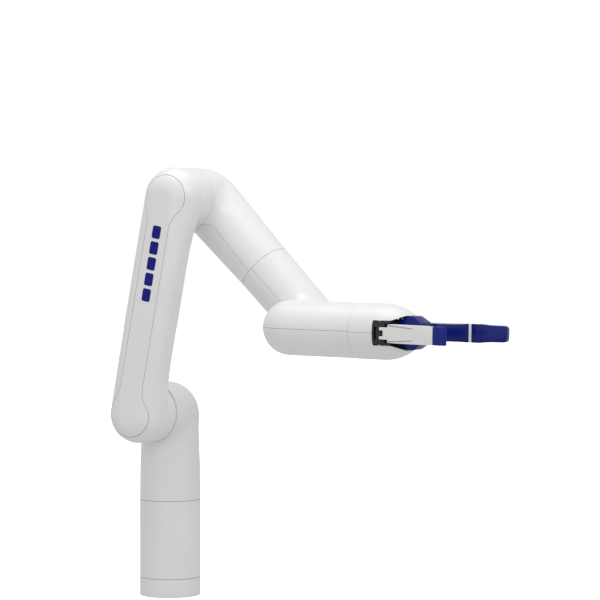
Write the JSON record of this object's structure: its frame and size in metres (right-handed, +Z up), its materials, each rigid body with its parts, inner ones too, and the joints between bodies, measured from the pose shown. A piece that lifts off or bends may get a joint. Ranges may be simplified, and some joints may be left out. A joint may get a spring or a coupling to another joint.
{
  "type": "collaborative robot arm",
  "caption": "Slim white tabletop robot arm with offset tubular joints, a bone-shaped cover on the upper arm and a blue and black gripper with hinged fingertips",
  "frame": {"origin": "centre of the base mounting face, on the base rotation axis, at the bottom of the arm", "axes": "+Z up along the base axis; +X the way the arm reaches forward; the upper arm is on the -Y side of the base axis and every pitch axis is along Y"},
  "size_m": [0.7422, 0.2215, 0.7728],
  "materials": {
    "shell": "satin white moulded housing",
    "collar": "satin white foot collar",
    "mark": "flat blue blocks, printed",
    "alloy": "machined, inside the housings",
    "drive": "dark anodised drive housings",
    "steel": "ground pins and screws",
    "board": "circuit board with potted parts",
    "socket": "black connector bodies",
    "frame": "black moulded hinge frame and links",
    "pad": "glossy blue rubber grip",
    "knuckle": "blue moulded hood"
  },
  "bodies": {
    "base": {"base_plate": "alloy", "base_collar": "collar", "base_tube": "shell", "base_screws": "steel", "base_controller": "board", "power_socket": "socket", "data_socket": "socket", "joint1_motor": "drive", "joint1_bearing": "alloy"},
    "shoulder": {"shoulder_shell": "shell", "joint1_flange": "alloy", "joint2_motor": "drive", "joint2_bearing": "alloy"},
    "upper_arm": {"upper_arm_shell": "shell", "upper_arm_cover": "shell", "upper_arm_mark": "mark", "upper_arm_frame": "alloy", "joint2_flange": "alloy", "joint3_motor": "drive", "joint3_bearing": "alloy"},
    "elbow": {"elbow_shell": "shell", "elbow_under_cover": "shell", "joint3_flange": "alloy", "joint4_motor": "drive", "joint4_bearing": "alloy"},
    "forearm": {"forearm_upper_shell": "shell", "forearm_lower_shell": "shell", "joint4_flange": "alloy", "joint5_motor": "drive", "joint5_bearing": "alloy"},
    "wrist": {"wrist_upper_shell": "shell", "wrist_lower_shell": "shell", "joint5_flange": "alloy", "joint6_motor": "drive", "joint6_bearing": "alloy"},
    "palm": {"palm_upper_shell": "shell", "palm_lower_shell": "shell", "joint6_flange": "alloy", "palm_frame": "frame", "palm_pad": "pad", "finger_drives": "drive", "finger_hinge_pins": "steel"},
    "near_finger": {"near_finger_link": "frame", "near_finger_cover": "shell", "near_finger_pad": "pad", "near_finger_knuckle": "knuckle", "near_tip_pin": "steel"},
    "near_tip": {"near_tip_core": "shell", "near_tip_pad": "pad"},
    "far_finger": {"far_finger_link": "frame", "far_finger_cover": "shell", "far_finger_pad": "pad", "far_finger_knuckle": "knuckle", "far_tip_pin": "steel"},
    "far_tip": {"far_tip_core": "shell", "far_tip_pad": "pad"}
  },
  "joints": [
    {"name": "joint1_yaw", "type": "hinge", "parent": "base", "child": "shoulder", "pos_m": [0, 0, 0.174], "axis": [0, 0, 1], "range_deg": [-154, 154]},
    {"name": "joint2_shoulder", "type": "hinge", "parent": "shoulder", "child": "upper_arm", "pos_m": [0, -0.06, 0.334], "axis": [0, 1, 0], "range_deg": [-60, 38]},
    {"name": "joint3_elbow", "type": "hinge", "parent": "upper_arm", "child": "elbow", "pos_m": [0.07442, -0.06, 0.71683], "axis": [0, 1, 0], "range_deg": [-150, 20]},
    {"name": "joint4_forearm_roll", "type": "hinge", "parent": "elbow", "child": "forearm", "pos_m": [0.19816, 0.004, 0.59309], "axis": [0.7071, 0, -0.7071], "range_deg": [-149, 149]},
    {"name": "joint5_wrist", "type": "hinge", "parent": "forearm", "child": "wrist", "pos_m": [0.29998, -0.046, 0.49127], "axis": [0, 1, 0], "range_deg": [-110, 110]},
    {"name": "joint6_hand_roll", "type": "hinge", "parent": "wrist", "child": "palm", "pos_m": [0.44295, -0.095, 0.48815], "axis": [0.9998, 0, -0.0218], "range_deg": [-149, 149]},
    {"name": "near_finger_hinge", "type": "hinge", "parent": "palm", "child": "near_finger", "pos_m": [0.49892, -0.13299, 0.48626], "axis": [-0.0218, 0.0175, -0.9996], "range_deg": [-8, 14]},
    {"name": "near_tip_hinge", "type": "hinge", "parent": "near_finger", "child": "near_tip", "pos_m": [0.62357, -0.15122, 0.48323], "axis": [0.0218, -0.0175, 0.9996], "range_deg": [-126, 2]},
    {"name": "far_finger_hinge", "type": "hinge", "parent": "palm", "child": "far_finger", "pos_m": [0.49895, -0.05701, 0.48759], "axis": [0.0218, -0.0175, 0.9996], "range_deg": [-8, 14]},
    {"name": "far_tip_hinge", "type": "hinge", "parent": "far_finger", "child": "far_tip", "pos_m": [0.62361, -0.03878, 0.48519], "axis": [-0.0218, 0.0175, -0.9996], "range_deg": [-2, 24]}
  ]
}
